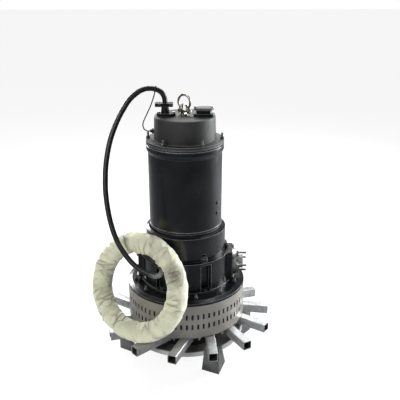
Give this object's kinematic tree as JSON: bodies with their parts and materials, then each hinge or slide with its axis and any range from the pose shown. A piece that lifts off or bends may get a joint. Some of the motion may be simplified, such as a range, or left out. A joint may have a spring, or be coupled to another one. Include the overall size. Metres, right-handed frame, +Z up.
{
  "type": "submersible aerator pump",
  "caption": "Submersible aerator: upright black motor on oil and air chambers, slotted strainer, ring of square outlet tubes on bent legs, wrapped cable coil.",
  "frame": {"origin": "on the shaft axis, at the floor below the feet", "axes": "+Z up along the shaft; -Y towards the viewer of the picture; +X towards the side with the air inlet"},
  "size_m": [0.8102, 0.7866, 1.2217],
  "materials": {
    "galvanised": "galvanised",
    "leg_paint": "satin paint",
    "pan_steel": "satin, dulled",
    "stainless": "brushed stainless",
    "cast_dark": "painted casting",
    "black_paint": "satin black paint",
    "flange_paint": "satin black paint",
    "dark_bolt": "painted over",
    "zinc": "zinc plated",
    "lifting_steel": "zinc plated",
    "gasket": "matte",
    "seal_face": "lapped",
    "spring_steel": "drawn wire",
    "lamination": "stacked sheet",
    "copper_winding": "varnished",
    "cast_aluminium": "as cast",
    "bearing_steel": "polished",
    "shaft_steel": "turned",
    "bronze": "as cast",
    "terminal_board": "matte",
    "cable_jacket": "satin rubber",
    "woven_wrap": "woven plastic strip"
  },
  "bodies": {
    "pump": {"feet": "leg_paint", "bottom_pan": "pan_steel", "diffuser_casing": "cast_dark", "outlet_tubes": "galvanised", "diffuser_deck": "galvanised", "ring_bolts": "zinc", "strainer": "stainless", "stay_columns": "stainless", "base_plate": "black_paint", "plate_bolts": "dark_bolt", "air_sleeve": "cast_dark", "air_chamber": "black_paint", "chamber_bolts": "dark_bolt", "port_gaskets": "gasket", "inlet_flange": "flange_paint", "blank_flange": "flange_paint", "port_bolts": "zinc", "companion_flange": "zinc", "companion_bolts": "zinc", "oil_chamber": "black_paint", "oil_plug": "dark_bolt", "seal_seats": "seal_face", "lower_bracket": "cast_dark", "motor_housing": "black_paint", "housing_plugs": "dark_bolt", "stator_core": "lamination", "stator_windings": "copper_winding", "upper_bracket": "cast_dark", "bearing_outer_rings": "bearing_steel", "bearing_balls": "bearing_steel", "cap_gasket": "gasket", "top_cap": "black_paint", "cap_bolts": "dark_bolt", "terminal_block": "terminal_board", "gland_body": "flange_paint", "gland_seal": "gasket", "gland_screws": "zinc", "cable_clamp": "flange_paint", "clamp_bolts": "zinc", "spare_entry_neck": "flange_paint", "spare_entry_cover": "flange_paint", "cover_screws": "zinc", "lifting_eye": "lifting_steel", "lead_gland": "gasket", "cable_free": "cable_jacket", "cable_coil": "cable_jacket", "cable_wrap": "woven_wrap", "sensor_lead": "cable_jacket", "lead_tie": "gasket"},
    "rotor": {"seal_rings": "seal_face", "seal_spring": "spring_steel", "bearing_inner_rings": "bearing_steel", "shaft": "shaft_steel", "rotor_core": "lamination", "rotor_end_rings": "cast_aluminium", "impeller": "bronze", "impeller_key": "shaft_steel", "impeller_nut": "shaft_steel"},
    "shackle": {"shackle_bow": "lifting_steel", "shackle_pin": "lifting_steel"}
  },
  "joints": [
    {"name": "rotor_spin", "type": "hinge", "parent": "pump", "child": "rotor", "pos_m": [0, 0, 0.5], "axis": [0, 0, -1], "continuous": true},
    {"name": "shackle_swing", "type": "hinge", "parent": "pump", "child": "shackle", "pos_m": [-0.002, 0, 1.1138], "axis": [0.8192, -0.5736, 0], "range_deg": [-80, 35]}
  ]
}
